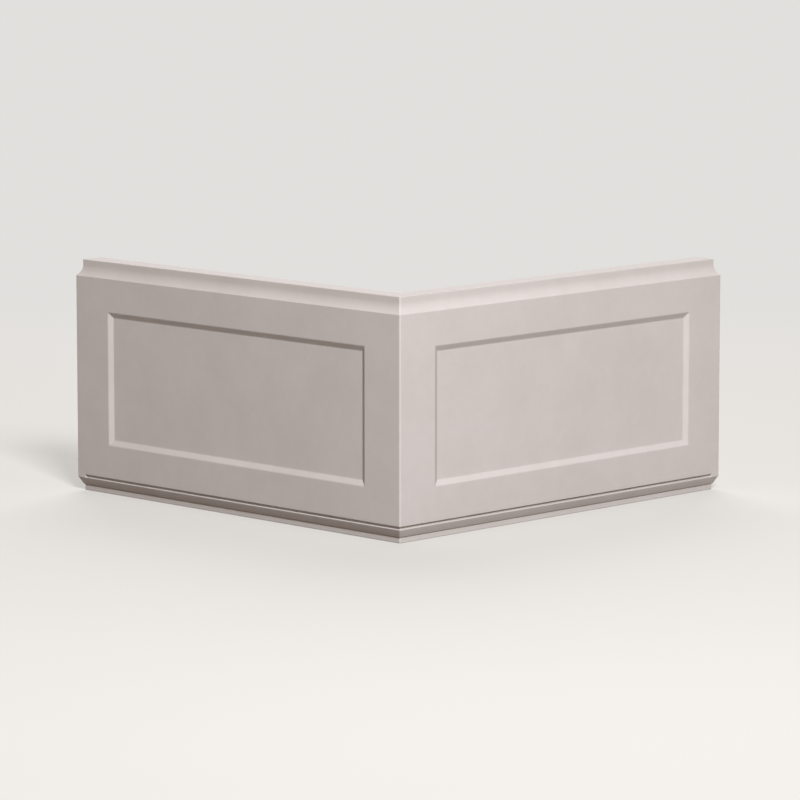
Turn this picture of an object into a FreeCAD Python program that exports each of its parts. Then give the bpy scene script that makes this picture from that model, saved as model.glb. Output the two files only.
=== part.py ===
"""Corner quoin stone of cast stone, for an outside corner of a wall.

One L-shaped block with two equal legs. A moulded section runs along both outer faces and is
mitred at the outer arris: a lip and a roll below, then the flat face, then a hollow and a
fillet above. The mouldings return round the end of each leg. A quirk is cut between roll and
face, and each leg has one sunk panel with bevelled sides. The two back faces and both beds are
plain.
"""

import FreeCAD, Part
import os

import Sketcher

NODE = "quoin_stone"

# Driving dimensions in millimetres
SIZES = {
    # The block, measured over its outer faces
    "leg_length": 595.0,
    "stone_height": 305.0,
    "stone_thickness": 38.0,
    # Both mouldings end in a narrow upright edge at this setback: a fillet above, a lip below
    "edge_setback": 6.5,
    # The upper moulding: a fillet over a hollow
    "fillet_height": 7.0,
    "hollow_height": 14.5,
    # The lower moulding: a lip under a roll that starts upright below the quirk
    "lip_height": 8.0,
    "roll_height": 10.5,
    "roll_radius": 13.0,
    # The quirk, a fine groove between roll and face that stops short of both ends
    "quirk_height": 3.5,
    "quirk_depth": 3.0,
    "quirk_stop": 14.0,
    # The sunk panel of each leg, with margins measured to the outer edge of its bevel
    "panel_side_margin": 61.5,
    "panel_upper_margin": 43.5,
    "panel_lower_margin": 43.5,
    "panel_bevel": 7.0,
    "panel_depth": 3.8,
}

# Sizes that follow from the driving ones; the heights are measured from the bottom bed
DERIVED = {
    "roll_top": "lip_height + roll_height",
    "roll_foot": "roll_radius - sqrt(roll_radius ^ 2 - roll_height ^ 2)",
    "face_bottom": "roll_top + quirk_height",
    "fillet_bottom": "stone_height - fillet_height",
    "face_top": "fillet_bottom - hollow_height",
    "hollow_radius": "(edge_setback ^ 2 + hollow_height ^ 2) / (2 * edge_setback)",
    "edge_end": "leg_length - edge_setback",
    "roll_foot_end": "leg_length - roll_foot",
    "quirk_end": "leg_length - quirk_stop",
    "panel_end": "leg_length - panel_side_margin",
    "panel_bottom": "face_bottom + panel_lower_margin",
    "panel_top": "face_top - panel_upper_margin",
    "floor_start": "panel_side_margin + panel_bevel",
    "floor_end": "panel_end - panel_bevel",
    "floor_bottom": "panel_bottom + panel_bevel",
    "floor_top": "panel_top - panel_bevel",
}


def fill_sheet(doc):
    """Write the driving sizes as numbers and the derived ones as formulas, each with an alias."""
    sheet = doc.addObject("Spreadsheet::Sheet", "sizes")
    cells = {name: str(size) for name, size in SIZES.items()}
    cells.update({name: "=" + formula for name, formula in DERIVED.items()})
    for row, (name, content) in enumerate(cells.items(), start=1):
        sheet.set(f"A{row}", name)
        sheet.set(f"B{row}", content)
        sheet.setAlias(f"B{row}", name)
    doc.recompute()
    return sheet


class Drawing:
    """A sketch on an origin plane of the body, with its points tied to the sheet's sizes.

    A point is a pair of size names, across and up from the sketch's origin. None means zero.
    """

    def __init__(self, body, sheet, name, plane, offset=None):
        self.sheet = sheet
        self.sketch = body.newObject("Sketcher::SketchObject", name)
        planes = {feature.Role: feature for feature in body.Origin.OriginFeatures}
        self.sketch.AttachmentSupport = [(planes[plane], "")]
        self.sketch.MapMode = "FlatFace"
        if offset:
            self.sketch.setExpression("AttachmentOffset.Base.z", offset)

    def place(self, point):
        """The present position of a point."""
        across, up = (float(self.sheet.get(name)) if name else 0.0 for name in point)
        return FreeCAD.Vector(across, up, 0)

    def pin(self, edge, end, point):
        """Hold one end of an edge at a point."""
        for kind, axis, name in zip(("DistanceX", "DistanceY"), (-2, -1), point):
            if name is None:
                self.sketch.addConstraint(Sketcher.Constraint("PointOnObject", edge, end, axis))
                continue
            distance = float(self.sheet.get(name))
            rule = Sketcher.Constraint(kind, -1, 1, edge, end, distance)
            index = self.sketch.addConstraint(rule)
            self.sketch.setExpression(f"Constraints[{index}]", f"sizes.{name}")

    def line(self, start, end):
        """Draw one straight edge between two points."""
        edge = self.sketch.addGeometry(Part.LineSegment(self.place(start), self.place(end)))
        self.pin(edge, 1, start)
        self.pin(edge, 2, end)
        return edge

    def path(self, points):
        """Draw straight edges from point to point."""
        return [self.line(start, end) for start, end in zip(points, points[1:])]

    def arc(self, centre, start, end, radius_name):
        """Draw a counter-clockwise arc from start to end and tie its radius to a size."""
        axis = FreeCAD.Vector(0, 0, 1)
        across = FreeCAD.Vector(1, 0, 0)
        first, last = ((point - centre).getAngle(across) for point in (start, end))
        first = first if start.y >= centre.y else -first
        last = last if end.y >= centre.y else -last
        circle = Part.Circle(centre, axis, start.distanceToPoint(centre))
        edge = self.sketch.addGeometry(Part.ArcOfCircle(circle, first, last))
        index = self.sketch.addConstraint(Sketcher.Constraint("Radius", edge, circle.Radius))
        self.sketch.setExpression(f"Constraints[{index}]", f"sizes.{radius_name}")
        return edge

    def join(self, first, first_end, second, second_end):
        """Join the ends of two edges."""
        rule = Sketcher.Constraint("Coincident", first, first_end, second, second_end)
        self.sketch.addConstraint(rule)


def draw_section(body, sheet):
    """Draw the moulded section at the end of a leg: the face at zero, the wall to the right."""
    drawing = Drawing(body, sheet, "section", "YZ_Plane", "sizes.leg_length")
    roll_foot = ("roll_foot", "lip_height")
    roll_top = (None, "roll_top")
    arris = (None, "face_top")
    fillet_foot = ("edge_setback", "fillet_bottom")

    # From the fillet over the top bed, the back and the bottom bed to the ledge over the lip
    fillet, *_, ledge = drawing.path([
        fillet_foot,
        ("edge_setback", "stone_height"),
        ("stone_thickness", "stone_height"),
        ("stone_thickness", None),
        ("edge_setback", None),
        ("edge_setback", "lip_height"),
        roll_foot,
    ])
    face = drawing.line(roll_top, arris)

    roll_centre = drawing.place(("roll_radius", "roll_top"))
    roll = drawing.arc(
        roll_centre, drawing.place(roll_top), drawing.place(roll_foot), "roll_radius"
    )
    drawing.join(roll, 1, face, 1)
    drawing.join(roll, 2, ledge, 2)

    hollow_centre = drawing.place(fillet_foot) - drawing.place(("hollow_radius", None))
    hollow = drawing.arc(
        hollow_centre, drawing.place(arris), drawing.place(fillet_foot), "hollow_radius"
    )
    drawing.join(hollow, 1, face, 2)
    drawing.join(hollow, 2, fillet, 1)
    return drawing.sketch


def draw_return(body, sheet, name, plane):
    """Draw what the returned mouldings leave out at a leg's end, seen on the leg's face."""
    drawing = Drawing(body, sheet, name, plane)
    arris = ("leg_length", "face_top")
    fillet_foot = ("edge_end", "fillet_bottom")
    roll_top = ("leg_length", "roll_top")
    roll_foot = ("roll_foot_end", "lip_height")

    # Over the hollow and outside the fillet
    fillet, _, above = drawing.path([
        fillet_foot, ("edge_end", "stone_height"), ("leg_length", "stone_height"), arris
    ])
    hollow_centre = drawing.place(fillet_foot) + drawing.place(("hollow_radius", None))
    hollow = drawing.arc(
        hollow_centre, drawing.place(fillet_foot), drawing.place(arris), "hollow_radius"
    )
    drawing.join(hollow, 1, fillet, 1)
    drawing.join(hollow, 2, above, 2)

    # Under the roll and outside the lip
    ledge, *_, below = drawing.path([
        roll_foot, ("edge_end", "lip_height"), ("edge_end", None), ("leg_length", None), roll_top
    ])
    roll_centre = drawing.place(roll_top) - drawing.place(("roll_radius", None))
    roll = drawing.arc(
        roll_centre, drawing.place(roll_foot), drawing.place(roll_top), "roll_radius"
    )
    drawing.join(roll, 1, ledge, 1)
    drawing.join(roll, 2, below, 2)
    return drawing.sketch


def draw_corner_path(body, sheet, name, end):
    """Draw the line of both outer faces at the foot, from one leg round the corner to the other."""
    drawing = Drawing(body, sheet, name, "XY_Plane")
    drawing.path([(end, None), (None, None), (None, end)])
    return drawing.sketch


def draw_box(body, sheet, name, plane, offset, left, right, bottom, top):
    """Draw a rectangle between four sizes."""
    drawing = Drawing(body, sheet, name, plane, offset)
    corners = [(left, bottom), (right, bottom), (right, top), (left, top), (left, bottom)]
    drawing.path(corners)
    return drawing.sketch


def run_mould(body, kind, name, profile, path):
    """Run a profile along a path that turns the corner, with a mitre there."""
    pipe = body.newObject(kind, name)
    pipe.Profile = profile
    pipe.Spine = (path, ["Edge1", "Edge2"])
    pipe.Transition = "Right corner"
    return pipe


def return_mouldings(body, sheet, name, plane, reverse):
    """Carry both mouldings round the end of a leg, mitred with those of the face."""
    waste = draw_return(body, sheet, name + "_waste", plane)
    cut = body.newObject("PartDesign::Pocket", name)
    cut.Profile = waste
    cut.Reversed = reverse
    cut.setExpression("Length", "sizes.stone_thickness")
    return cut


def sink_panel(body, sheet, name, plane, inward):
    """Sink a panel into one face: a loft from its opening down to its smaller floor."""
    opening = draw_box(
        body, sheet, name + "_opening", plane, None,
        "panel_side_margin", "panel_end", "panel_bottom", "panel_top",
    )
    floor = draw_box(
        body, sheet, name + "_floor", plane, f"{inward} * sizes.panel_depth",
        "floor_start", "floor_end", "floor_bottom", "floor_top",
    )
    panel = body.newObject("PartDesign::SubtractiveLoft", name)
    panel.Profile = opening
    panel.Sections = [floor]
    panel.Ruled = True
    return panel


def build_stone(doc, sheet):
    """Build the stone, with the foot of the wall's corner at the origin."""
    body = doc.addObject("PartDesign::Body", NODE)
    body.Label = NODE

    section = draw_section(body, sheet)
    outline = draw_corner_path(body, sheet, "outline_path", "leg_length")
    run_mould(body, "PartDesign::AdditivePipe", "moulded_block", section, outline)

    # The cut goes against the normal of the first leg's plane and along the second's
    return_mouldings(body, sheet, "first_return", "XZ_Plane", False)
    return_mouldings(body, sheet, "second_return", "YZ_Plane", True)

    groove = draw_box(
        body, sheet, "quirk_section", "YZ_Plane", "sizes.quirk_end",
        None, "quirk_depth", "roll_top", "face_bottom",
    )
    groove_path = draw_corner_path(body, sheet, "quirk_path", "quirk_end")
    run_mould(body, "PartDesign::SubtractivePipe", "quirk", groove, groove_path)

    # The outward normal of the first leg's plane and the inward one of the second's
    sink_panel(body, sheet, "first_panel", "XZ_Plane", "-1")
    sink_panel(body, sheet, "second_panel", "YZ_Plane", "1")

    for side in "xy":
        body.setExpression(f"Placement.Base.{side}", "-1 * sizes.stone_thickness")
    doc.recompute()
    return body


def check_document(doc, body):
    """Stop unless every object is sound and every cut has taken material away."""
    for item in doc.Objects:
        if {"Invalid", "Error"} & set(item.State):
            raise RuntimeError(f"{item.Label} failed: {item.State}")
    volumes = []
    for feature in body.Group:
        if feature.isDerivedFrom("PartDesign::Feature"):
            volumes.append((feature.Label, feature.Shape.Volume))
    for (_, before), (label, after) in zip(volumes, volumes[1:]):
        if after >= before:
            raise RuntimeError(f"{label} cut nothing")
    shape = body.Shape
    if shape.isNull() or not shape.isValid() or len(shape.Solids) != 1:
        raise RuntimeError("the stone is not one sound solid")


def main():
    """Build the document, check it and write the stone."""
    doc = FreeCAD.newDocument("quoin")
    sheet = fill_sheet(doc)
    stone = build_stone(doc, sheet)
    check_document(doc, stone)
    os.makedirs("parts", exist_ok=True)
    stone.Shape.exportStep(f"parts/{stone.Label}.step")
    bounds = stone.Shape.BoundBox
    print(f"{stone.Label}: {stone.Shape.Volume:.0f} mm3, {len(stone.Shape.Faces)} faces")
    print(f"x {bounds.XMin:.1f} to {bounds.XMax:.1f}, y {bounds.YMin:.1f} to {bounds.YMax:.1f}")


if __name__ == "__main__":
    main()
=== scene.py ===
"""Looks of the corner quoin stone: its cast body, its stone finish and a plain studio.

Lengths are in metres. A place on the stone is given as a distance along a leg from the outer
arris, a setback inward from the face, and a height over the bottom bed.
"""

import logging
import math
from collections.abc import Sequence
from dataclasses import dataclass, field
from enum import Enum
from itertools import product
from typing import Any

import bpy
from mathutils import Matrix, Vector, noise


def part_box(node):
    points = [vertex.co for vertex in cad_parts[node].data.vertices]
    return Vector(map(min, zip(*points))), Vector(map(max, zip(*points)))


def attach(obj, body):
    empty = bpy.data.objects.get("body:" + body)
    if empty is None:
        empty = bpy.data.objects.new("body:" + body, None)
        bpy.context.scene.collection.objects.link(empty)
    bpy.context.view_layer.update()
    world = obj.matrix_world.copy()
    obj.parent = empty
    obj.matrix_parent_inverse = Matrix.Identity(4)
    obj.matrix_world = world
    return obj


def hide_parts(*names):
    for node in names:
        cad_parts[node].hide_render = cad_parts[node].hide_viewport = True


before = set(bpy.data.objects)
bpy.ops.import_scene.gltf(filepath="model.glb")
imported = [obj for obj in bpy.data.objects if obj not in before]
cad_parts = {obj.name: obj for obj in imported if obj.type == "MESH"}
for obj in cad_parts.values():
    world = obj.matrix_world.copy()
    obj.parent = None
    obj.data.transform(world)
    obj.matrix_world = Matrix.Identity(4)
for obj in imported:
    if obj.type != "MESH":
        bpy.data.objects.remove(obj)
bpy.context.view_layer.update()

LOG = logging.getLogger("quoin")
NODE = "quoin_stone"
PIECE = "quoin_stone_cast"
SURFACE_VALUES = ("raw", "recess", "arris")

MM = 0.001
# A length below this one counts as zero.
TINY = 0.001 * MM
# A gap may be wider than its step by this share of the step.
STEP_SLACK = 0.001
# A Mix node has a set of sockets for each kind of data, and these are the ones for colours.
MIX_FIRST, MIX_SECOND, MIX_RESULT = 6, 7, 2

Colour = tuple[float, float, float]
Range = tuple[float, float]


class Signal:
    """The output of a shader node, which Python expressions extend with Math nodes."""

    def __init__(self, graph: "ShaderGraph", socket: bpy.types.NodeSocket) -> None:
        """Wrap a socket of a graph."""
        self.graph = graph
        self.socket = socket

    def _math(self, operation: str, first: "Signal | float", second: "Signal | float") -> "Signal":
        """Add a Math node on two operands."""
        return self.graph.node("ShaderNodeMath", {"operation": operation}, {0: first, 1: second})

    def __add__(self, other: "Signal | float") -> "Signal":
        """Sum."""
        return self._math("ADD", self, other)

    def __radd__(self, other: float) -> "Signal":
        """Sum with a number on the left."""
        return self._math("ADD", other, self)

    def __sub__(self, other: "Signal | float") -> "Signal":
        """Difference."""
        return self._math("SUBTRACT", self, other)

    def __rsub__(self, other: float) -> "Signal":
        """Difference from a number."""
        return self._math("SUBTRACT", other, self)

    def __mul__(self, other: "Signal | float") -> "Signal":
        """Product."""
        return self._math("MULTIPLY", self, other)

    def __rmul__(self, other: float) -> "Signal":
        """Product with a number on the left."""
        return self._math("MULTIPLY", other, self)

    def over(self, other: "Signal | float") -> "Signal":
        """The larger of two values."""
        return self._math("MAXIMUM", self, other)

    def ramp(self, low: float, high: float) -> "Signal":
        """Rise from 0 at the low value to 1 at the high one, softly at both ends.

        Args:
            low: The value that gives 0.
            high: The value that gives 1, which may be below the low one.

        Returns:
            The share from 0 to 1.
        """
        settings = {"interpolation_type": "SMOOTHSTEP"}
        inputs = {"Value": self, "From Min": low, "From Max": high}
        return self.graph.node("ShaderNodeMapRange", settings, inputs)


class ShaderGraph:
    """The nodes of one material or world."""

    def __init__(self, owner: bpy.types.Material | bpy.types.World) -> None:
        """Start an empty graph.

        Args:
            owner: The material or world that gets the nodes.
        """
        owner.use_nodes = True
        self.tree = owner.node_tree
        self.tree.nodes.clear()

    def add(
        self,
        kind: str,
        settings: dict[str, Any] | None = None,
        inputs: dict[str | int, Any] | None = None,
    ) -> bpy.types.Node:
        """Add a node, set it up and feed its sockets.

        Args:
            kind: The node's type.
            settings: The node's own properties, which are set first.
            inputs: A value or a signal for each socket, by name or number.

        Returns:
            The node.
        """
        made = self.tree.nodes.new(kind)
        for name, value in (settings or {}).items():
            setattr(made, name, value)
        for name, value in (inputs or {}).items():
            if isinstance(value, Signal):
                self.tree.links.new(value.socket, made.inputs[name])
            elif isinstance(value, tuple) and len(value) < len(made.inputs[name].default_value):
                made.inputs[name].default_value = (*value, 1.0)
            else:
                made.inputs[name].default_value = value
        return made

    def node(
        self,
        kind: str,
        settings: dict[str, Any] | None = None,
        inputs: dict[str | int, Any] | None = None,
        output: str | int = 0,
    ) -> Signal:
        """Add a node as above and read one of its outputs, by name or number."""
        return Signal(self, self.add(kind, settings, inputs).outputs[output])

    def mix(
        self, factor: Signal | float, first: Signal | Colour, second: Signal | Colour
    ) -> Signal:
        """Blend two colours, with the factor as the share of the second."""
        inputs = {"Factor": factor, MIX_FIRST: first, MIX_SECOND: second}
        return self.node("ShaderNodeMix", {"data_type": "RGBA"}, inputs, MIX_RESULT)

    def attribute(self, name: str) -> Signal:
        """A value stored on the mesh."""
        return self.node("ShaderNodeAttribute", {"attribute_name": name}, output="Fac")


@dataclass(frozen=True)
class Mottle:
    """Cloudy noise about one half: its width, its number of finer layers and their strength."""

    size: float
    detail: float
    rough: float = 0.5

    def read(self, graph: ShaderGraph, where: Signal) -> Signal:
        """Add the noise to a material.

        Args:
            graph: The material's graph.
            where: The place to read.

        Returns:
            A value from 0 to 1.
        """
        inputs = {
            "Vector": where,
            "Scale": 1 / self.size,
            "Detail": self.detail,
            "Roughness": self.rough,
        }
        return graph.node("ShaderNodeTexNoise", {"noise_dimensions": "3D"}, inputs)


@dataclass(frozen=True)
class CastStoneFinish:
    """Off-white cast stone: smooth and matt from the mould, rougher on the beds and backs.

    A range holds the values at which a pattern starts and is full. A share is how much of its
    colour, height or chance comes in there.
    """

    name: str = "cast_stone_finish"
    pale: Colour = (0.715, 0.676, 0.668)
    warm: Colour = (0.665, 0.622, 0.609)
    # Darker colour for recesses and pits: partly dust, partly painted shade.
    dust_and_shade: Colour = (0.42, 0.37, 0.34)
    raw: Colour = (0.615, 0.575, 0.560)
    cloud: Mottle = Mottle(90 * MM, 3.0, 0.55)
    blotch: Mottle = Mottle(14 * MM, 3.0, 0.6)
    struck: Mottle = Mottle(6 * MM, 4.0, 0.65)
    fleck: Mottle = Mottle(2.4 * MM, 3.0, 0.7)
    grain: Mottle = Mottle(1.1 * MM, 2.0)
    sand: Mottle = Mottle(0.45 * MM, 1.0)
    cloud_range: Range = (0.32, 0.68)
    blotch_range: Range = (0.3, 0.7)
    fleck_range: Range = (0.54, 0.70)
    cloud_share: float = 0.55
    blotch_share: float = 0.25
    sand_share: float = 0.20
    fleck_share: float = 0.30
    least_raw_share: float = 0.55
    least_dust_and_shade_share: float = 0.15
    blotch_dust_and_shade_share: float = 0.25
    wear_and_highlight_share: float = 0.35
    pit_dust_and_shade_share: float = 0.45
    pit_spacing: float = 11 * MM
    pit_radius: float = 0.45 * MM
    pit_floor_share: float = 0.4
    pit_range: Range = (0.62, 0.66)
    raw_pit_share: float = 0.25
    face_pit_share: float = 0.35
    face_roughness: float = 0.74
    raw_roughness: float = 0.93
    grain_roughness: float = 0.10
    grain_share: float = 0.6
    grain_depth: float = 0.05 * MM
    raw_depth: float = 0.80 * MM
    pit_depth: float = 0.4 * MM
    specular: float = 0.35

    def build(self) -> bpy.types.Material:
        """Make the material.

        Returns:
            The material, which reads the mesh's raw, recess and arris values.
        """
        material = bpy.data.materials.new(self.name)
        graph = ShaderGraph(material)
        where = graph.node("ShaderNodeTexCoord", output="Object")
        raw, recess, arris = (graph.attribute(name) for name in SURFACE_VALUES)
        blotch, grain, sand = (
            mottle.read(graph, where) for mottle in (self.blotch, self.grain, self.sand)
        )
        pits = self._pits(graph, where, raw)

        clouded = self.cloud.read(graph, where).ramp(*self.cloud_range) * self.cloud_share
        blotched = blotch.ramp(*self.blotch_range) * self.blotch_share
        even = graph.mix(clouded + blotched + sand * self.sand_share, self.pale, self.warm)
        flecks = self.fleck.read(graph, where).ramp(*self.fleck_range) * self.fleck_share
        moulded = graph.mix(flecks, even, self.raw)
        raw_share = self.least_raw_share + (1 - self.least_raw_share) * blotch
        body = graph.mix(raw * raw_share, moulded, self.raw)
        # Recesses darken towards the dust colour: partly real dust, partly painted shade in the
        # hollows of the mouldings.
        dust_and_shade_share = self.least_dust_and_shade_share + self.blotch_dust_and_shade_share * blotch
        dusted_and_shaded = graph.mix(recess * dust_and_shade_share, body, self.dust_and_shade)
        # Arrises are lightened towards the pale colour: partly wear, partly a painted highlight
        # along the eased edges.
        worn_and_highlighted = graph.mix(arris * self.wear_and_highlight_share, dusted_and_shaded, self.pale)
        # Pits are darkened: partly dust, partly painted shade inside the holes.
        colour = graph.mix(pits * self.pit_dust_and_shade_share, worn_and_highlighted, self.dust_and_shade)

        smooth = self.face_roughness + self.grain_roughness * grain
        rougher = self.raw_roughness - self.face_roughness - self.grain_roughness / 2
        fine = grain * self.grain_share + sand * (1 - self.grain_share)
        coarse = self.struck.read(graph, where) * self.raw_depth
        height = fine * self.grain_depth + raw * coarse - pits * self.pit_depth
        shader = graph.node(
            "ShaderNodeBsdfPrincipled",
            inputs={
                "Base Color": colour,
                "Roughness": smooth + raw * rougher,
                "Specular IOR Level": self.specular,
                "Normal": graph.node("ShaderNodeBump", inputs={"Distance": 1.0, "Height": height}),
            },
        )
        graph.add("ShaderNodeOutputMaterial", inputs={"Surface": shader})
        return material

    def _pits(self, graph: ShaderGraph, where: Signal, raw: Signal) -> Signal:
        """Small scattered air holes, fewer on the moulded faces.

        Args:
            graph: The material's graph.
            where: The place to read.
            raw: The share of raw surface.

        Returns:
            1 inside a pit and 0 elsewhere.
        """
        scatter = {"Vector": where, "Scale": 1 / self.pit_spacing}
        cells = graph.add("ShaderNodeTexVoronoi", inputs=scatter)
        distance, tint = (Signal(graph, cells.outputs[name]) for name in ("Distance", "Color"))
        chance = graph.node("ShaderNodeRGBToBW", inputs={"Color": tint})
        edge = self.pit_radius / self.pit_spacing
        hole = distance.ramp(edge, self.pit_floor_share * edge)
        kept = (chance + raw * self.raw_pit_share).ramp(*self.pit_range)
        return hole * kept * (self.face_pit_share + (1 - self.face_pit_share) * raw)


@dataclass(frozen=True)
class Corner:
    """A corner of the outer profile, whose recess is the share of darkening that it gets: dust, and
    painted shade in its hollow.
    """

    setback: float
    height: float
    easing: float = 0.0
    recess: float = 0.0
    in_quirk: bool = False
    at_bed: bool = False


@dataclass
class Level:
    """A line round the stone that starts from one place of the outer profile.

    It keeps its setback from the faces and from the ends. Along the backs it lies in their plane,
    or inside it by the inset, where the profile turns over into a bed.
    """

    setback: float
    height: float
    recess: float = 0.0
    arris: float = 0.0
    in_quirk: bool = False
    inset: float = 0.0
    raw: float = 0.0
    back_height: float = 0.0

    @property
    def end_setback(self) -> float:
        """Setback near the ends, where the quirk has run out."""
        return 0.0 if self.in_quirk else self.setback

    @property
    def on_flat_face(self) -> bool:
        """Whether the level runs along the flat face, which holds the panel."""
        return not self.in_quirk and self.setback < TINY


@dataclass(frozen=True)
class SunkPanel:
    """The sunk panel of one leg, with margins to the outer edge of its bevel."""

    side_margin: float = 61.5 * MM
    upper_margin: float = 43.5 * MM
    lower_margin: float = 43.5 * MM
    bevel: float = 7.0 * MM
    depth: float = 3.8 * MM
    easing: float = 0.9 * MM
    marks_per_edge: int = 5

    def marks(self, edge: float, inward: int) -> list[float]:
        """Places where the bevel of one side needs points.

        Args:
            edge: The place of the opening's edge.
            inward: 1 if the panel lies at larger values, or else -1.

        Returns:
            The places from before the bevel to past its foot.
        """
        last = self.marks_per_edge - 1
        steps = [self.easing * (2 * i / last - 1) for i in range(self.marks_per_edge)]
        offsets = [*steps, self.bevel / 2, *(self.bevel + step for step in steps)]
        return [edge + inward * offset for offset in offsets]

    def sink(self, inside: float) -> float:
        """Depth of the surface at a distance inside the opening's edge.

        Args:
            inside: The distance to the nearest edge, below zero outside the panel.

        Returns:
            The depth, with both edges of the bevel eased.
        """
        slope = self.depth / self.bevel
        upper = self._eased_rise(inside)
        lower = self._eased_rise(inside - self.bevel)
        return slope * (upper - lower)

    def _eased_rise(self, distance: float) -> float:
        """Rise from zero with the distance, along a parabola near the edge.

        Args:
            distance: The distance past an edge of the bevel.

        Returns:
            Zero well before the edge and the distance itself well past it.
        """
        if distance <= -self.easing:
            return 0.0
        if distance >= self.easing:
            return distance
        return (distance + self.easing) ** 2 / (4 * self.easing)


@dataclass(frozen=True)
class MouldedSection:
    """The outer profile of the stone, worked out from its mouldings.

    The quirk narrows inward by its draft on each side, and the roll bulges a little over its
    chord. A recess is the share of darkening that a place gets, partly dust and partly painted
    shade in the hollows. The raw surface starts on the beds, at a share of their easing inward
    from the profile.
    """

    height: float
    panel: SunkPanel
    edge_setback: float = 6.5 * MM
    fillet_height: float = 7.0 * MM
    hollow_height: float = 14.5 * MM
    lip_height: float = 8.0 * MM
    roll_height: float = 10.5 * MM
    roll_radius: float = 13.0 * MM
    quirk_height: float = 3.5 * MM
    quirk_depth: float = 3.0 * MM
    quirk_draft: float = 0.35 * MM
    ledge_easing: float = 0.35 * MM
    fine_easing: float = 0.6 * MM
    roll_easing: float = 0.7 * MM
    roll_steps: int = 6
    bulge: float = 0.15 * MM
    bed_easing: float = 1.2 * MM
    easing_points: int = 5
    arc_step: float = math.radians(6)
    level_step: float = 6 * MM
    ledge_foot_recess: float = 0.6
    ledge_edge_recess: float = 0.4
    quirk_edge_recess: float = 0.2
    quirk_floor_recess: float = 1.0
    raw_from: float = 0.3

    @property
    def roll_top(self) -> float:
        """Height where the roll ends in the quirk."""
        return self.lip_height + self.roll_height

    @property
    def face_bottom(self) -> float:
        """Height where the flat face starts."""
        return self.roll_top + self.quirk_height

    @property
    def face_top(self) -> float:
        """Height of the arris between face and hollow."""
        return self.height - self.fillet_height - self.hollow_height

    def corners(self) -> list[Corner]:
        """Work out the profile's corners.

        Returns:
            The corners from the bottom bed to the top bed.
        """
        edge, ledge, fine = self.edge_setback, self.ledge_easing, self.fine_easing
        fillet_foot = self.height - self.fillet_height
        hollow_radius = (edge**2 + self.hollow_height**2) / (2 * edge)
        roll_foot = self.roll_radius - math.sqrt(self.roll_radius**2 - self.roll_height**2)
        floor_low = self.roll_top + self.quirk_draft
        floor_high = self.face_bottom - self.quirk_draft
        return [
            Corner(edge, 0.0, self.bed_easing, at_bed=True),
            Corner(edge, self.lip_height, ledge, self.ledge_foot_recess),
            Corner(roll_foot, self.lip_height, ledge, self.ledge_edge_recess),
            *self._roll(Vector((roll_foot, self.lip_height)), Vector((0.0, self.roll_top))),
            Corner(0.0, self.roll_top, self.roll_easing, self.quirk_edge_recess, in_quirk=True),
            Corner(self.quirk_depth, floor_low, 0.0, self.quirk_floor_recess, in_quirk=True),
            Corner(self.quirk_depth, floor_high, 0.0, self.quirk_floor_recess, in_quirk=True),
            Corner(0.0, self.face_bottom, fine, self.quirk_edge_recess, in_quirk=True),
            Corner(0.0, self.face_top, fine),
            *self._hollow(hollow_radius, fillet_foot),
            Corner(edge, self.height, self.bed_easing, at_bed=True),
        ]

    def _roll(self, foot: Vector, top: Vector) -> list[Corner]:
        """Points of the roll, which is worn flatter than it was drawn.

        Args:
            foot: The setback and height of its foot.
            top: The setback and height of its top.

        Returns:
            The points in between, from below to above.
        """
        along = top - foot
        outward = Vector((-along.y, along.x)).normalized()
        places = []
        for i in range(1, self.roll_steps):
            share = i / self.roll_steps
            places.append(foot + along * share + outward * (4 * share * (1 - share) * self.bulge))
        return [Corner(place.x, place.y) for place in places]

    def _hollow(self, radius: float, top: float) -> list[Corner]:
        """Points of the hollow after the arris, up to its upright end at the fillet.

        Args:
            radius: The hollow's radius.
            top: The height of its centre and of its end.

        Returns:
            The points from below to above.
        """
        foot = math.asin(self.hollow_height / radius)
        steps = round(foot / self.arc_step)
        turns = [foot * (1 - i / steps) for i in range(1, steps + 1)]
        centre = self.edge_setback - radius
        return [
            Corner(centre + radius * math.cos(turn), top - radius * math.sin(turn))
            for turn in turns
        ]

    def levels(self) -> list[Level]:
        """Work out the levels of the stone's mesh.

        Returns:
            The levels from the bottom bed to the top bed.
        """
        corners = self.corners()
        # The beds are level, so any place further inward shows which way they turn.
        lower_bed, upper_bed = (
            Corner(2 * corner.setback, corner.height) for corner in (corners[0], corners[-1])
        )
        outline: list[Level] = []
        for around in zip([lower_bed, *corners], corners, [*corners[1:], upper_bed]):
            outline.extend(self._eased(*around))
        levels = outline[:1]
        for first, last in zip(outline, outline[1:]):
            levels.extend([*self._between(first, last), last])

        # Along the backs the levels are evenly spread between the easings of the beds.
        low, high = self.easing_points - 1, len(levels) - self.easing_points
        start, end = levels[low].height, levels[high].height
        for i, level in enumerate(levels):
            share = (i - low) / (high - low)
            level.back_height = start + (end - start) * share if 0 < share < 1 else level.height
        return levels

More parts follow.
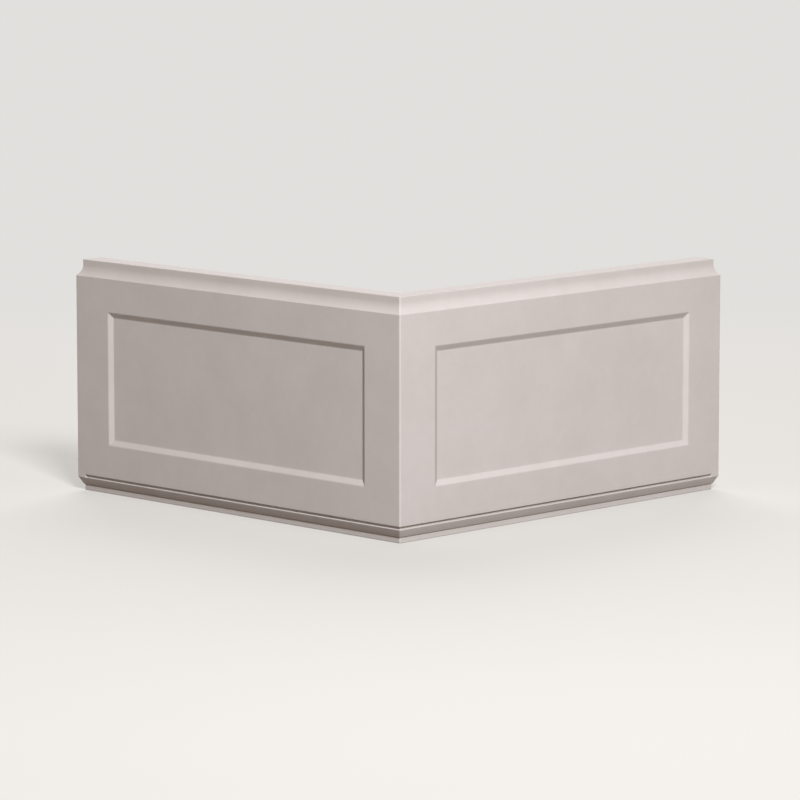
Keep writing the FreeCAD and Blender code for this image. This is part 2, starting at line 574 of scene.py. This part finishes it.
    def _eased(self, before: Corner, corner: Corner, after: Corner) -> list[Level]:
        """Round one corner of the profile.

        Args:
            before: The corner before it.
            corner: The corner itself.
            after: The corner after it.

        Returns:
            One level for a sharp corner, or an arc of levels.
        """
        here = Vector((corner.setback, corner.height))
        if not corner.easing:
            return [Level(here.x, here.y, corner.recess, in_quirk=corner.in_quirk)]
        back = (Vector((before.setback, before.height)) - here).normalized()
        ahead = (Vector((after.setback, after.height)) - here).normalized()
        half = back.angle(ahead) / 2
        reach = corner.easing / math.tan(half)
        centre = here + (back + ahead).normalized() * (corner.easing / math.sin(half))
        first = here + back * reach - centre
        sweep = math.pi - 2 * half
        side = math.copysign(1.0, first.x * (here - centre).y - first.y * (here - centre).x)
        levels = []
        for i in range(self.easing_points):
            share = i / (self.easing_points - 1)
            turn = side * sweep * share
            place = centre + Vector((
                first.x * math.cos(turn) - first.y * math.sin(turn),
                first.x * math.sin(turn) + first.y * math.cos(turn),
            ))
            # The arris value, highest mid-arc, lightens the colour there as wear and as a painted
            # highlight.
            level = Level(
                place.x, place.y, corner.recess, math.sin(math.pi * share), corner.in_quirk
            )
            if corner.at_bed:
                level.inset = max(0.0, place.x - corner.setback)
                level.raw = float(level.inset > self.raw_from * corner.easing)
            levels.append(level)
        return levels

    def _between(self, first: Level, last: Level) -> list[Level]:
        """Levels on the straight stretch between two levels.

        Args:
            first: The level before the stretch.
            last: The level after it.

        Returns:
            The levels in between, which on the face follow the panel's edges.
        """
        span = Vector((last.setback - first.setback, last.height - first.height))
        marks: list[float] = []
        if span.y > self.panel.upper_margin:
            low = self.face_bottom + self.panel.lower_margin
            high = self.face_top - self.panel.upper_margin
            heights = self.panel.marks(low, 1) + self.panel.marks(high, -1)
            marks = [(height - first.height) / span.y for height in heights]
        shares = spread(0.0, 1.0, marks, self.level_step / max(span.length, MM))
        return [
            Level(
                first.setback + span.x * share,
                first.height + span.y * share,
                0.0 if marks else first.recess + (last.recess - first.recess) * share,
                in_quirk=first.in_quirk and last.in_quirk,
            )
            for share in shares[1:-1]
        ]


def spread(start: float, end: float, marks: Sequence[float], step: float) -> list[float]:
    """Places from start to end that hold every mark and leave no gap wider than a step.

    Args:
        start: The first place.
        end: The last place.
        marks: Places in between that must be there.
        step: The widest gap.

    Returns:
        The places in order.
    """
    fixed = [start, *sorted(marks), end]
    places = [start]
    for low, high in zip(fixed, fixed[1:]):
        count = max(1, math.ceil((high - low) / step - STEP_SLACK))
        places.extend(low + (high - low) * (i + 1) / count for i in range(count))
    return places


class Leg(Enum):
    """The parts of the stone's run, from the end of one leg to the end of the other."""

    FIRST = "along x"
    ARRIS = "round the arris"
    SECOND = "along y"


@dataclass(frozen=True)
class Station:
    """A cross-section of the run: a distance along a leg, or a turn round the arris.

    The last few on a leg share one distance and go on past it by a share of the end's easing.
    """

    leg: Leg
    place: float
    past: float = 0.0


@dataclass(frozen=True)
class Layer:
    """A place through the thickness: a number of the end's easings, then a share of the rest."""

    easings: float
    share: float


@dataclass(frozen=True)
class Vertex:
    """A point of the stone, measured from the outer corner, and the kind of surface there."""

    place: Vector
    raw: float
    recess: float
    arris: float


@dataclass
class QuoinStone:
    """The cast stone, with eased arrises and the slight unevenness of a casting.

    Its mesh is the skin of a lattice of stations along the run, levels up the profile and
    layers through the thickness. The relief is pressed inward, so the stone stays in its box.
    """

    lowest: Vector
    highest: Vector
    finish: CastStoneFinish
    panel: SunkPanel = field(default_factory=SunkPanel)
    arris_radius: float = 2.2 * MM
    back_radius: float = 1.0 * MM
    arris_steps: int = 8
    end_radius: float = 1.2 * MM
    least_radius: float = 0.2 * MM
    end_steps: int = 3
    bed_steps: int = 6
    quirk_stop: float = 14.0 * MM
    quirk_run_out: float = 0.8 * MM
    run_out_marks: int = 3
    station_step: float = 6 * MM
    face_relief: float = 0.10 * MM
    raw_relief: float = 0.55 * MM
    wide_swell: float = 85 * MM
    fine_swell: float = 24 * MM
    wide_share: float = 0.6
    smooth_angle: float = math.radians(38)
    leg_length: float = field(init=False)
    thickness: float = field(init=False)
    quirk_end: float = field(init=False)
    section: MouldedSection = field(init=False)
    stations: list[Station] = field(init=False)
    levels: list[Level] = field(init=False)
    layers: list[Layer] = field(init=False)

    def __post_init__(self) -> None:
        """Work out the lattice from the box of the stone."""
        size = self.highest - self.lowest
        self.leg_length = size.x
        self.thickness = -self.lowest.x
        self.quirk_end = self.leg_length - self.quirk_stop
        self.section = MouldedSection(size.z, self.panel)
        self.stations = self._stations()
        self.levels = self.section.levels()
        self.layers = self._layers()

    def _arc_shares(self) -> list[float]:
        """Shares of the end's easing that divide half of its arc evenly."""
        return [math.tan(math.pi / 4 * i / self.end_steps) for i in range(1, self.end_steps + 1)]

    def _stations(self) -> list[Station]:
        """Work out the cross-sections of the run.

        Returns:
            The stations from the end of the first leg to the end of the second.
        """
        panel, last = self.panel, self.run_out_marks - 1
        marks = [
            *panel.marks(panel.side_margin, 1),
            *panel.marks(self.leg_length - panel.side_margin, -1),
            *(self.quirk_end - self.quirk_run_out * i / last for i in range(self.run_out_marks)),
        ]
        reach = self.leg_length - self.end_radius
        run = [(place, 0.0) for place in spread(self.arris_radius, reach, marks, self.station_step)]
        run += [(reach, share) for share in self._arc_shares()]
        turns = [math.pi / 2 * i / self.arris_steps for i in range(1, self.arris_steps)]
        return [
            *(Station(Leg.FIRST, *spot) for spot in reversed(run)),
            *(Station(Leg.ARRIS, turn) for turn in turns),
            *(Station(Leg.SECOND, *spot) for spot in run),
        ]

    def _layers(self) -> list[Layer]:
        """Work out the layers through the thickness.

        Returns:
            The layers from the outer skin to the backs.
        """
        arc = self._arc_shares()
        return [
            *(Layer(1.0 - share, 0.0) for share in reversed(arc)),
            *(Layer(1.0, i / self.bed_steps) for i in range(self.bed_steps + 1)),
            *(Layer(1.0 + share, 1.0) for share in arc),
        ]

    def _quirk_share(self, along: float) -> float:
        """Share of the quirk's depth at a distance along the leg, which runs out at its stop."""
        return min(1.0, max(0.0, (self.quirk_end - along) / self.quirk_run_out))

    def _panel_sink(self, along: float, height: float) -> float:
        """Depth of the panel at a place on the face.

        Args:
            along: The distance along the leg.
            height: The height over the bottom bed.

        Returns:
            The depth, which is zero outside the panel.
        """
        section, panel = self.section, self.panel
        inside = min(
            along - panel.side_margin,
            self.leg_length - panel.side_margin - along,
            height - section.face_bottom - panel.lower_margin,
            section.face_top - panel.upper_margin - height,
        )
        return panel.sink(inside)

    def _radius(self, setback: float) -> float:
        """Radius of the turn in plan: eased at the arris, tight at the back."""
        share = min(1.0, max(0.0, setback / self.thickness))
        return self.arris_radius + (self.back_radius - self.arris_radius) * share

    def _along(self, station: Station, setback: float, end: float, easing: float) -> float:
        """Distance along the leg, which makes room for the mitre and for the end's return.

        Args:
            station: The cross-section.
            setback: The distance inward from the face.
            end: The place of the leg's end at this level.
            easing: The radius of the end's eased arris at this level.

        Returns:
            The distance from the outer corner.
        """
        corner = setback + self._radius(setback)
        if station.leg is Leg.ARRIS:
            return corner
        first_mark = self.panel.side_margin - self.panel.easing
        if station.place < first_mark:
            share = (station.place - self.arris_radius) / (first_mark - self.arris_radius)
            return corner + (first_mark - corner) * share
        if station.place <= self.quirk_end:
            return station.place
        reach = self.leg_length - self.end_radius
        share = (station.place - self.quirk_end) / (reach - self.quirk_end)
        near = self.quirk_end + (end - easing - self.quirk_end) * share
        return near + station.past * easing

    def _plan(self, station: Station, along: float, setback: float) -> tuple[float, float]:
        """Place in plan, measured from the outer corner.

        Args:
            station: The cross-section.
            along: The distance along its leg.
            setback: The distance inward from the face.

        Returns:
            The distances along x and y.
        """
        if station.leg is Leg.FIRST:
            return along, setback
        if station.leg is Leg.SECOND:
            return setback, along
        radius = self._radius(setback)
        centre = setback + radius
        turn = station.place
        return centre - radius * math.sin(turn), centre - radius * math.cos(turn)

    def _vertex(self, station: Station, level: Level, layer: Layer) -> Vertex:
        """Work out one point of the lattice's skin.

        Args:
            station: Its cross-section.
            level: Its line round the stone.
            layer: Its place through the thickness.

        Returns:
            The point, before the casting's unevenness.
        """
        on_face, on_back = layer is self.layers[0], layer is self.layers[-1]
        easing = max(self.least_radius, self.end_radius - level.inset)
        face, back = level.end_setback, self.thickness - level.inset
        end = self.leg_length - face
        setback = face + layer.easings * easing + layer.share * (back - face - 2 * easing)
        along = self._along(station, level.setback if on_face else setback, end, easing)

        # The outer skin sinks into the quirk and the panel, and on the arris it gets the lightening
        # that is partly wear and partly a painted highlight.
        recess, arris, height = level.recess, level.arris, level.height
        if on_face and level.in_quirk:
            setback = level.setback * self._quirk_share(along)
            recess *= self._quirk_share(along)
        elif on_face and level.on_flat_face:
            setback += self._panel_sink(along, height)
        if on_face and station.leg is Leg.ARRIS:
            arris = max(arris, math.sin(2 * station.place))
        # Away from the ends, the backs take their own even spread of levels.
        if on_back:
            share = (end - easing - along) / (self.quirk_stop - self.end_radius)
            height += (level.back_height - height) * min(1.0, max(0.0, share))
            recess = 0.0
            arris *= level.raw

        # Near the edges of an end, squares about the arc's centre turn into the circles in them.
        from_end, from_side = end - along, min(setback - face, back - setback)
        if from_end < easing and from_side < easing:
            spoke = Vector((easing - from_end, easing - from_side))
            arris = max(arris, min(spoke) / easing)
            pull = spoke * (1 - max(spoke) / spoke.length)
            along -= pull.x
            setback += pull.y if setback - face < back - setback else -pull.y
        place = Vector((*self._plan(station, along, setback), height))
        return Vertex(place, 1.0 if on_back else level.raw, recess, arris)

    def _relief(self, vertex: Vertex) -> float:
        """Depth of the casting's unevenness.

        Args:
            vertex: The point.

        Returns:
            The depth, zero or more, which is larger on the raw surfaces.
        """
        wide, fine = (
            0.5 + 0.5 * noise.noise(vertex.place / swell)
            for swell in (self.wide_swell, self.fine_swell)
        )
        smooth = self.face_relief * wide
        rough = self.raw_relief * (self.wide_share * wide + (1 - self.wide_share) * fine)
        return smooth + (rough - smooth) * vertex.raw

    def build(self) -> bpy.types.Object:
        """Make the stone as one mesh.

        Returns:
            The object, with its finish, which rides on the root body.
        """
        vertices, faces = self._skin()
        mesh = bpy.data.meshes.new(PIECE)
        mesh.from_pydata([self.lowest + vertex.place for vertex in vertices], [], faces)
        mesh.update()
        inward = [-normal.vector for normal in mesh.vertex_normals]
        for point, vertex, turned in zip(mesh.vertices, vertices, inward):
            point.co += turned * self._relief(vertex)
        for name in SURFACE_VALUES:
            layer = mesh.attributes.new(name, "FLOAT", "POINT")
            layer.data.foreach_set("value", [getattr(vertex, name) for vertex in vertices])
        mesh.shade_smooth()
        mesh.set_sharp_from_angle(angle=self.smooth_angle)
        mesh.materials.append(self.finish.build())
        stone = bpy.data.objects.new(PIECE, mesh)
        bpy.context.scene.collection.objects.link(stone)
        weighted = stone.modifiers.new("flat faces stay flat", "WEIGHTED_NORMAL")
        weighted.keep_sharp = True
        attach(stone, "root")
        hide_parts(NODE)
        return stone

    def _skin(self) -> tuple[list[Vertex], list[tuple[int, ...]]]:
        """Work out the skin of the lattice.

        Returns:
            The vertices, and the faces as seen from outside.
        """
        sizes = [len(self.stations), len(self.levels), len(self.layers)]
        runs, rises, depths = (range(size) for size in sizes)
        vertices: list[Vertex] = []
        numbers: dict[tuple[int, int, int], int] = {}
        for key in product(runs, rises, depths):
            if any(i in (0, size - 1) for i, size in zip(key, sizes)):
                numbers[key] = len(vertices)
                i, j, k = key
                vertices.append(self._vertex(self.stations[i], self.levels[j], self.layers[k]))

        last_run, last_rise, last_depth = (size - 1 for size in sizes)
        patches = (
            [[numbers[i, j, 0] for j in rises] for i in runs],
            [[numbers[i, j, last_depth] for j in reversed(rises)] for i in runs],
            [[numbers[i, last_rise, k] for k in depths] for i in runs],
            [[numbers[i, 0, k] for k in reversed(depths)] for i in runs],
            [[numbers[0, j, k] for k in depths] for j in rises],
            [[numbers[last_run, j, k] for k in reversed(depths)] for j in rises],
        )
        faces = [
            face
            for lines in patches
            for line, beyond in zip(lines, lines[1:])
            for quad in zip(line, line[1:], beyond[1:], beyond)
            for face in self._split(quad, vertices)
        ]
        return vertices, faces

    def _split(
        self, quad: tuple[int, int, int, int], vertices: Sequence[Vertex]
    ) -> list[tuple[int, ...]]:
        """Keep a flat quad, and fold a bent one along the diagonal that lies deeper.

        Args:
            quad: The corners of the quad.
            vertices: All vertices.

        Returns:
            One quad or two triangles.
        """
        a, b, c, d = (vertices[i].place for i in quad)
        between = (a + c - b - d) / 2
        if between.length < self.face_relief:
            return [quad]
        if between.dot((b - a).cross(d - a)) < 0:
            return [(quad[0], quad[1], quad[2]), (quad[0], quad[2], quad[3])]
        return [(quad[0], quad[1], quad[3]), (quad[1], quad[2], quad[3])]


@dataclass(frozen=True)
class Lamp:
    """A square soft lamp, placed round the stone by angles from the view's axis."""

    name: str
    turn: float
    rise: float
    distance: float
    width: float
    level: float
    colour: Colour

    def build(self, target: Vector, view_azimuth: float) -> bpy.types.Object:
        """Make the lamp.

        Args:
            target: The point that it faces.
            view_azimuth: The azimuth of the view's axis.

        Returns:
            The lamp, strong enough to light a white surface at the target to its level.
        """
        data = bpy.data.lights.new(self.name, "AREA")
        data.size = self.width
        data.color = self.colour
        data.energy = self.level * (math.pi * self.distance) ** 2
        lamp = bpy.data.objects.new(self.name, data)
        bpy.context.scene.collection.objects.link(lamp)
        azimuth = view_azimuth + self.turn
        out = Vector((
            math.cos(azimuth) * math.cos(self.rise),
            math.sin(azimuth) * math.cos(self.rise),
            math.sin(self.rise),
        ))
        lamp.location = target + out * self.distance
        lamp.rotation_euler = (-out).to_track_quat("-Z", "Y").to_euler()
        return lamp


@dataclass(frozen=True)
class Studio:
    """Pale floor and backdrop, soft lamps and the camera."""

    outer_corner: Vector
    stone_height: float
    backdrop: Colour = (0.76, 0.745, 0.725)
    floor_lit: Colour = (0.43, 0.42, 0.405)
    floor_glow: Colour = (0.35, 0.343, 0.332)
    floor_bounce: Colour = (0.19, 0.155, 0.125)
    fade_start: float = 0.7
    fade_end: float = 2.6
    floor_radius: float = 40.0
    floor_sides: int = 96
    ambient: Colour = (1.0, 0.76, 0.54)
    ambient_level: float = 0.165
    view_azimuth: float = math.radians(225)
    camera_distance: float = 5.63
    camera_aside: float = 0.027
    camera_rise: float = 0.84
    aim_rise: float = 0.027
    lens: float = 210.0
    lamps: tuple[Lamp, ...] = (
        Lamp(
            name="key_lamp",
            turn=math.radians(12.3),
            rise=math.radians(37),
            distance=5.2,
            width=1.3,
            level=1.115,
            colour=(0.975, 0.985, 1.0),
        ),
        Lamp(
            name="back_lamp",
            turn=math.radians(180),
            rise=math.radians(38),
            distance=4.5,
            width=3.0,
            level=0.60,
            colour=(0.98, 0.985, 1.0),
        ),
    )

    def build(self) -> None:
        """Make the floor, the world, the lamps and the camera."""
        self._add_floor()
        self._add_world()
        middle = self.outer_corner + Vector((0, 0, self.stone_height / 2))
        for lamp in self.lamps:
            lamp.build(middle, self.view_azimuth)
        self._add_camera(middle)

    @staticmethod
    def _seen(graph: ShaderGraph) -> Signal:
        """Tell the rays that show the backdrop: from the camera, in gloss or through glass.

        Args:
            graph: The graph of the floor or the world.

        Returns:
            1 for such a ray and 0 for others.
        """
        camera, glossy, through = (
            graph.node("ShaderNodeLightPath", output=name)
            for name in ("Is Camera Ray", "Is Glossy Ray", "Is Transmission Ray")
        )
        return camera.over(glossy).over(through)

    def _add_floor(self) -> None:
        """Make a round floor that fades into the backdrop."""
        bpy.ops.mesh.primitive_circle_add(
            vertices=self.floor_sides,
            radius=self.floor_radius,
            fill_type="NGON",
            location=(0, 0, 0),
        )
        floor = bpy.context.object
        floor.name = "studio_floor"
        material = bpy.data.materials.new("studio_floor")
        graph = ShaderGraph(material)
        where = graph.node("ShaderNodeNewGeometry", output="Position")
        away = graph.node("ShaderNodeVectorMath", {"operation": "LENGTH"}, {0: where}, "Value")
        lit = graph.node("ShaderNodeBsdfDiffuse", inputs={"Color": self.floor_lit})
        glow = graph.node("ShaderNodeEmission", inputs={"Color": self.floor_glow})
        near = graph.node("ShaderNodeAddShader", inputs={0: lit, 1: glow})
        far = graph.node("ShaderNodeEmission", inputs={"Color": self.backdrop, "Strength": 1.0})
        fade = away.ramp(self.fade_start, self.fade_end)
        shown = graph.node("ShaderNodeMixShader", inputs={0: fade, 1: near, 2: far})
        bounce = graph.node("ShaderNodeBsdfDiffuse", inputs={"Color": self.floor_bounce})
        both = graph.node("ShaderNodeMixShader", inputs={0: self._seen(graph), 1: bounce, 2: shown})
        graph.add("ShaderNodeOutputMaterial", inputs={"Surface": both})
        floor.data.materials.append(material)

    def _add_world(self) -> None:
        """Make a world that shows as the backdrop and lights the stone softly."""
        world = bpy.data.worlds.new("studio_world")
        bpy.context.scene.world = world
        graph = ShaderGraph(world)
        light = graph.node(
            "ShaderNodeBackground",
            inputs={"Color": self.ambient, "Strength": self.ambient_level},
        )
        pale = graph.node("ShaderNodeBackground", inputs={"Color": self.backdrop, "Strength": 1.0})
        both = graph.node("ShaderNodeMixShader", inputs={0: self._seen(graph), 1: light, 2: pale})
        graph.add("ShaderNodeOutputWorld", inputs={"Surface": both})

    def _add_camera(self, middle: Vector) -> None:
        """Make the camera in front of the outer arris, a little above and to the left.

        Args:
            middle: The middle of the outer arris.
        """
        data = bpy.data.cameras.new("camera")
        data.lens = self.lens
        camera = bpy.data.objects.new("camera", data)
        bpy.context.scene.collection.objects.link(camera)
        out = Vector((math.cos(self.view_azimuth), math.sin(self.view_azimuth), 0))
        aside = Vector((out.y, -out.x, 0))
        camera.location = (
            middle
            + out * self.camera_distance
            + aside * self.camera_aside
            + Vector((0, 0, self.camera_rise))
        )
        aim = middle + Vector((0, 0, self.aim_rise)) - camera.location
        camera.rotation_euler = aim.to_track_quat("-Z", "Y").to_euler()
        bpy.context.scene.camera = camera


def main() -> None:
    """Build the stone and the studio and report them."""
    logging.basicConfig(level=logging.INFO, format="%(name)s: %(message)s")
    bpy.context.scene.view_settings.view_transform = "Standard"
    lowest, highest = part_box(NODE)
    piece = QuoinStone(lowest, highest, CastStoneFinish()).build()
    LOG.info(
        "%s: %d vertices, %d faces", piece.name, len(piece.data.vertices), len(piece.data.polygons)
    )
    studio = Studio(Vector((lowest.x, lowest.y, 0.0)), highest.z)
    studio.build()
    LOG.info("studio: floor, world, camera and %d lamps", len(studio.lamps))


if __name__ == "__main__":
    main()
